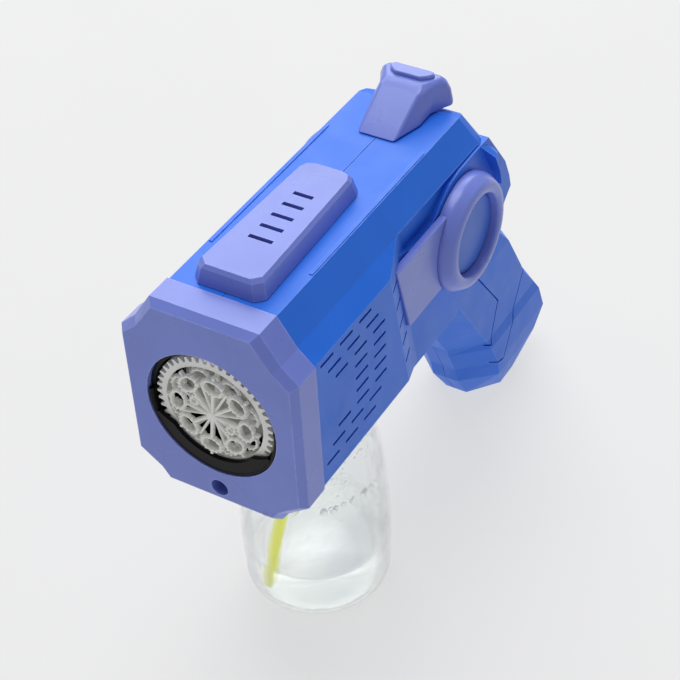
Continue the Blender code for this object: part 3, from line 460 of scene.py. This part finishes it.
def add_wand():
    """Eight ribbed loops on thin spokes in front, eight between them behind, and two small
    ones nearer the hub."""
    front_reach, front_radius, unevenness = 13.6, 4.15, 0.5
    back_reach, back_radius = 15.8, 3.5
    small_reach, small_radius = 8.0, 2.4
    spoke_start = 0.9
    step = 2 * pi / FRONT_LOOPS
    bm = bmesh.new()
    for k in range(FRONT_LOOPS):
        angle = LOOP_TURN + k * step
        reach = front_reach + unevenness * sin(2.3 * k)
        scalloped_loop(bm, angle, reach, front_radius, 0.25, 2.2)
        spoke(bm, angle, spoke_start, reach - 2.6, 0.62, 0.5, 2.2)
        tip = reach + 3.0
        spoke(bm, angle, tip - 0.3, tip + 1.9, 0.6, 0.7, 2.3)
        between = angle + step / 2
        scalloped_loop(bm, between, back_reach, back_radius, 2.0, 3.6, ribs=11)
        spoke(bm, between, spoke_start, back_reach - 2.4, 0.55, 1.2, 3.0)
        if k % 4 == 3:
            scalloped_loop(bm, between, small_reach, small_radius, 0.7, 2.3, ribs=9)
    hub = [(0.0, 0.15), (1.5, 0.15), (1.9, 0.5), (1.9, 2.9), (0.0, 2.9)]
    lathe(bm, hub, lambda x, z, y: at(x, y, WAND_Z + z), 28)
    star = piece("bubble_star", bm, MATS["white"], "wand", 40)
    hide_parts("wand_star")


# ---------------------------------------------------------------- bottle and solution

def on_bottle(x, y, z):
    """Metres from millimetres about the bottle's axis."""
    return at(x, BOTTLE_Y + y, z)


def bottle_wall(inset):
    """(radius, height) points of the outside, or of the inside for an inset."""
    fillet, flare = 7.25, 0.9
    foot = BOTTLE_RADIUS - flare
    waist_z, shoulder_rise, shoulder_reach = 26.0, 77.2, 16.0
    points = [(foot - fillet + (fillet - inset) * sin(radians(d)),
               fillet - (fillet - inset) * cos(radians(d))) for d in range(10, 91, 10)]
    points += [(foot + flare * t - inset, fillet + (waist_z - fillet) * t)
               for t in (0.33, 0.66, 1.0)]
    points += [(BOTTLE_RADIUS - shoulder_reach + shoulder_reach * cos(radians(d)) - inset,
                waist_z + shoulder_rise * sin(radians(d))) for d in range(5, 60, 5)]
    points += [(18.6 - inset, 93.8 - inset), (NECK_RADIUS + 1.2 - inset, 95.6 - inset),
               (NECK_RADIUS - inset, 96.8 - inset), (NECK_RADIUS - inset, 105.9)]
    return points


def wall_radius(z, inset):
    """Radius of the wall at a height, between the profile's own points."""
    points = bottle_wall(inset)
    for (r0, z0), (r1, z1) in zip(points, points[1:]):
        if z0 <= z <= z1:
            return r0 + (r1 - r0) * (z - z0) / (z1 - z0)
    return points[-1][0]


def add_bottle():
    """Blown bottle with a pushed-up base, and the solution that stands in it."""
    base_out = [(0.0, 2.2), (9.0, 1.7), (16.0, 0.5), (20.0, 0.0)]
    base_in = [(r, z + BOTTLE_WALL) for r, z in reversed(base_out)]
    outer, inner = bottle_wall(0.0), bottle_wall(BOTTLE_WALL)
    bm = bmesh.new()
    lathe(bm, base_out + outer + list(reversed(inner)) + base_in, on_bottle)
    shell = piece("bottle_shell", bm, MATS["clear"], "solution_bottle", 60)
    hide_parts("bottle")

    gap = 0.08                  # between the solution and the wall
    floor = [(r, z + gap) for r, z in reversed(base_in)]
    wet = [(r - gap, z) for r, z in inner if z < LIQUID_LEVEL - 0.6]
    edge = wall_radius(LIQUID_LEVEL, BOTTLE_WALL) - gap
    surface = [(edge, LIQUID_LEVEL + 0.5), (edge - 0.5, LIQUID_LEVEL + 0.12),
               (edge - 1.6, LIQUID_LEVEL), (0.0, LIQUID_LEVEL)]
    bm = bmesh.new()
    lathe(bm, floor + wet + surface, on_bottle)
    solution = piece("bubble_solution", bm, MATS["liquid"], "solution_bottle", 60)


def add_foam():
    """Droplets all over the inside of the shoulder, and a row of bubbles below them."""
    droplets, row_bubbles = 400, 120
    row_z, row_scatter = 60.0, 1.2
    shoulder_z, shoulder_rise = 61.0, 31.0
    rng = Random(11)
    flat = Matrix.Diagonal((0.45, 1.0, 1.0, 1.0))
    bm = bmesh.new()
    for k in range(droplets + row_bubbles):
        in_row = k >= droplets
        turn = rng.uniform(0, 2 * pi)
        z = (rng.gauss(row_z, row_scatter) if in_row
             else shoulder_z + shoulder_rise * rng.random() ** 0.8)
        size = rng.uniform(0.7, 1.5) if in_row else rng.uniform(0.22, 0.85)
        radius = wall_radius(z, BOTTLE_WALL) - 0.25 * size - 0.1
        centre = on_bottle(radius * cos(turn), radius * sin(turn), z)
        place = Matrix.Translation(centre) @ Matrix.Rotation(turn, 4, "Z") @ flat
        bmesh.ops.create_icosphere(bm, subdivisions=2, radius=size * MM, matrix=place)
    foam = piece("foam_droplets", bm, MATS["foam"], "solution_bottle", 80)


# ---------------------------------------------------------------- rear sight

def stack(levels):
    """Solid through closed outlines, each given as (height, (x, y) points)."""
    bm = bmesh.new()
    rows = [[bm.verts.new(at(x, y, z)) for x, y in outline] for z, outline in levels]
    skin(bm, rows)
    return bm


def add_sight():
    """Wedge with a sloped face, a soft plateau and a low pad, arched at its rear corners."""
    halves = [
        (174.3, [(7.6, 115.3), (11.3, 128.5), (11.0, 137.0), (13.2, 142.5), (15.4, 146.2),
                 (14.6, 148.1)]),
        (176.2, [(7.7, 118.4), (10.9, 129.5), (10.9, 137.5), (13.4, 143.0), (15.5, 146.4),
                 (14.6, 148.3)]),
        (181.0, [(7.8, 127.0), (9.8, 132.5), (11.2, 139.3), (13.4, 143.4), (14.9, 146.2),
                 (13.6, 148.3)]),
        (184.4, [(7.9, 133.4), (8.9, 135.6), (10.6, 140.5), (12.4, 143.6), (13.4, 145.6),
                 (11.9, 148.0)]),
        (185.9, [(6.9, 138.2), (7.7, 138.9), (9.4, 141.4), (10.6, 143.6), (11.2, 145.2),
                 (9.8, 146.8)]),
    ]
    wedge = stack([(z, mirrored(half)) for z, half in halves])
    sight = piece("sight_wedge", wedge, MATS["lavender"], "body", 30)
    round_edges(sight, 0.9, 3, 22)
    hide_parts("rear_sight")

    outline = mirrored([(5.2, 139.9), (8.0, 141.8), (9.4, 144.0), (8.2, 145.6)])
    middle_y = 143
    pad = stack([(z, [(x * shrink, middle_y + (y - middle_y) * shrink) for x, y in outline])
                 for z, shrink in ((185.4, 1.0), (186.9, 1.0), (187.5, 0.93))])
    top = piece("sight_pad", pad, MATS["lavender"], "body", 30)
    round_edges(top, 0.5, 3, 22)


# ---------------------------------------------------------------- grip grooves

def groove(points, x0, x1, width=0.9, overlap=0.3):
    """Thin walls from x0 to x1, one along each stretch between the (y, z) points."""
    bm = bmesh.new()
    for (ya, za), (yb, zb) in zip(points, points[1:]):
        run = Vector((0, yb - ya, zb - za)).normalized()
        side = Vector((0, -run.z, run.y)) * width / 2
        a, b = Vector((0, ya, za)) - run * overlap, Vector((0, yb, zb)) + run * overlap
        corner = [a - side, b - side, b + side, a + side]
        skin(bm, [[bm.verts.new(at(x, p.y, p.z)) for p in corner] for x in (x0, x1)])
    bmesh.ops.recalc_face_normals(bm, faces=bm.faces)
    return bm


def add_grooves():
    """Two panel lines in each side of the grip, one inside the other."""
    outer = [(187.0, 92.0), (190.9, 85.1), (205.8, 56.0), (183.3, 22.6), (170.0, 27.2)]
    inner = [(154.2, 92.0), (161.6, 82.2), (181.0, 56.3), (173.0, 38.1), (163.0, 42.0)]
    start_x, end_x = 17.4, 24.0
    for side, sign in SIDES:
        for k, line in enumerate((outer, inner)):
            cut(NODES[f"casing_{side}"], f"panel_line_{side}_{k}",
                groove(line, sign * start_x, sign * end_x), place=2)


# ---------------------------------------------------------------- side trim and cup lip

def add_side_trim():
    """Turned ring and disc of each side, round instead of faceted."""
    base = 29.3
    for side, sign in SIDES:
        drop = RIGHT_RING_DROP if side == "right" else 0.0

        def out(u, v, h, sign=sign):
            return at(sign * h, RING_Y + u, RING_Z + v)

        ring = [(16.3, base), (23.2, base), (23.2, base + 3.0), (23.05, base + 3.9),
                (22.6, base + 4.8), (21.3, base + 7.0 - drop), (20.7, base + 7.8 - drop),
                (19.7, base + 8.3 - drop), (18.4, base + 8.4 - drop),
                (17.1, base + 8.2 - drop), (16.5, base + 7.7 - drop),
                (16.3, base + 6.9 - drop), (16.3, base)]
        bm = bmesh.new()
        lathe(bm, ring, out, 112)
        bmesh.ops.remove_doubles(bm, verts=bm.verts, dist=1e-7)
        trim = piece(f"ring_{side}", bm, MATS["lavender"], "body", 40)
        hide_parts(f"side_ring_{side}")

        disc = [(0.0, base), (16.0, base), (16.0, base + 4.1 - drop / 2),
                (15.75, base + 4.6 - drop / 2), (15.2, base + 4.9 - drop / 2),
                (14.4, base + 5.0 - drop / 2), (0.0, base + 5.0 - drop / 2)]
        bm = bmesh.new()
        lathe(bm, disc, out, 112)
        face = piece(f"disc_{side}", bm, MATS["disc"], "body", 40)
        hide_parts(f"side_disc_{side}")


def add_cup_lip():
    """Crescent lip of the drip cup in front of the wheel's lower teeth."""
    start, end, count = radians(198.0), radians(334.0), 60
    outer, width = 24.6, 5.0
    bm = bmesh.new()
    rows = []
    for k in range(count + 1):
        t = k / count
        angle = start + (end - start) * t
        taper = min(1.0, 7.0 * min(t, 1.0 - t) + 0.25)
        inner = outer - width * taper
        section = [(24.7, 0.55), (24.7, 1.9), (inner, 1.9), (inner, 1.1), (inner + 0.5, 0.55)]
        rows.append([bm.verts.new(at(r * cos(angle), y, WAND_Z + r * sin(angle)))
                     for r, y in section])
    skin(bm, rows)
    lip = piece("drip_cup_lip", bm, MATS["black"], "body", 35)


# ---------------------------------------------------------------- spring and screws

def add_spring():
    """Return spring behind the trigger; the real one shortens as the trigger is pulled, this
    one keeps its length.
    """
    radius, wire, turns = 1.9, 0.35, 4.5
    count, sides = 110, 8
    around = radius * 2 * pi * turns
    bm = bmesh.new()
    rows = []
    for k in range(count + 1):
        t = k / count
        a = 2 * pi * turns * t
        centre = Vector((radius * cos(a), SPRING_START + SPRING_LENGTH * t,
                         SPRING_Z + radius * sin(a)))
        outward = Vector((cos(a), 0.0, sin(a)))
        along = Vector((-sin(a) * around, SPRING_LENGTH, cos(a) * around)).normalized()
        other = along.cross(outward)
        row = []
        for i in range(sides):
            b = 2 * pi * i / sides
            p = centre + wire * (cos(b) * outward + sin(b) * other)
            row.append(bm.verts.new(at(p.x, p.y, p.z)))
        rows.append(row)
    skin(bm, rows)
    coil = piece("return_spring", bm, MATS["steel"], "body", 50)
    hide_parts("trigger_spring")
    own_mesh(coil)


def add_screw_slots():
    """Cross recess in the head of every screw: the bezel's faces front, the casing's right."""
    arm, arm_width, cut_depth = 3.4, 0.75, 1.8
    facing = {"bezel_screw": "Y", **{name: "X" for name in numbered("casing_screw", 5)}}
    for node, axis in facing.items():
        low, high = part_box(node)
        mid = (low + high) / 2
        face = Vector((low.x, mid.y, mid.z)) if axis == "X" else Vector((mid.x, low.y, mid.z))
        bm = bmesh.new()
        for across, up in ((arm, arm_width), (arm_width, arm)):
            size = (cut_depth, across, up) if axis == "X" else (across, cut_depth, up)
            scale = Matrix.Diagonal((*[v * MM for v in size], 1.0))
            bmesh.ops.create_cube(bm, size=1.0, matrix=Matrix.Translation(face) @ scale)
        cut(NODES[node], f"cross_{node}", bm, place=1)


# ---------------------------------------------------------------- camera, floor, light

CAMERA_LENS = 93.13             # mm, on a sensor 36 mm wide
CAMERA_TURN = Vector((2.2310330, 0.5801201, -0.3263244))     # rotation vector, radians
CAMERA_PLACE = Vector((0.2708, -0.3399, 0.5362))             # metres, from the muzzle's foot
AIM = (0, 0, 0.1)               # metres; the lamps point at the middle of the toy


def add_camera():
    """Long lens from the front left, above the toy."""
    data = bpy.data.cameras.new("camera")
    data.sensor_fit = "HORIZONTAL"
    data.sensor_width = 36.0
    data.lens = CAMERA_LENS
    data.clip_start = 0.05
    cam = bpy.data.objects.new("camera", data)
    right, down, forward = Matrix.Rotation(CAMERA_TURN.length, 3, CAMERA_TURN.normalized())
    cam.matrix_world = Matrix((right, -down, -forward)).transposed().to_4x4()
    cam.location = at(0, 0, 0) + CAMERA_PLACE
    bpy.context.scene.collection.objects.link(cam)
    bpy.context.scene.camera = cam


def add_floor():
    """Paper that the toy stands on; its own glow keeps the shadows light."""
    below = 0.0002
    dark, light = (0.195, 0.195, 0.195), (0.205, 0.205, 0.205)
    bm = bmesh.new()
    bmesh.ops.create_grid(bm, x_segments=1, y_segments=1, size=4.0)
    floor = link_mesh("floor", bm)
    floor.location.z = -below
    mat, tree, shader = new_material("floor_paper")
    mottle = noise(tree, scale=9.0, detail=3.0, seed=61.0)
    base = blend_colours(tree, spread(tree, mottle, low=0.0, high=1.0), dark, light)
    tree.links.new(base, shader.inputs["Base Color"])
    set_inputs(shader, {"Roughness": 0.8, "Specular IOR Level": 0.1,
                        "Emission Color": (1.0, 1.0, 1.0, 1.0), "Emission Strength": 0.64})
    floor.data.materials.append(mat)


def add_area(name, place, aim, size, power):
    """White rectangular lamp at a place, pointed at aim; metres and watts."""
    data = bpy.data.lights.new(name, "AREA")
    data.shape = "RECTANGLE"
    data.size, data.size_y = size
    data.energy = power
    lamp = bpy.data.objects.new(name, data)
    lamp.location = place
    lamp.rotation_euler = (Vector(aim) - Vector(place)).to_track_quat("-Z", "Y").to_euler()
    bpy.context.scene.collection.objects.link(lamp)


def add_light():
    """Softbox overhead, a large lamp behind for the sheen on the top, and a weak sky."""
    world = bpy.data.worlds.new("studio")
    world.use_nodes = True
    set_inputs(world.node_tree.nodes["Background"],
               {"Color": (0.95, 0.97, 1.0, 1.0), "Strength": 0.22})
    bpy.context.scene.world = world
    add_area("key", place=(-0.3, 0.2, 2.4), aim=AIM, size=(1.6, 1.4), power=34.0)
    add_area("back", place=(-1.0, 1.5, 1.5), aim=AIM, size=(1.9, 1.4), power=28.0)


# ---------------------------------------------------------------- the whole scene

dress_nodes()
add_wand()
add_bottle()
add_foam()
add_sight()
add_grooves()
add_side_trim()
add_cup_lip()
add_spring()
add_screw_slots()

bpy.context.scene.view_settings.view_transform = "Standard"
add_camera()
add_floor()
add_light()


def corners(box):
    return [[float(v) for v in corner] for corner in box]
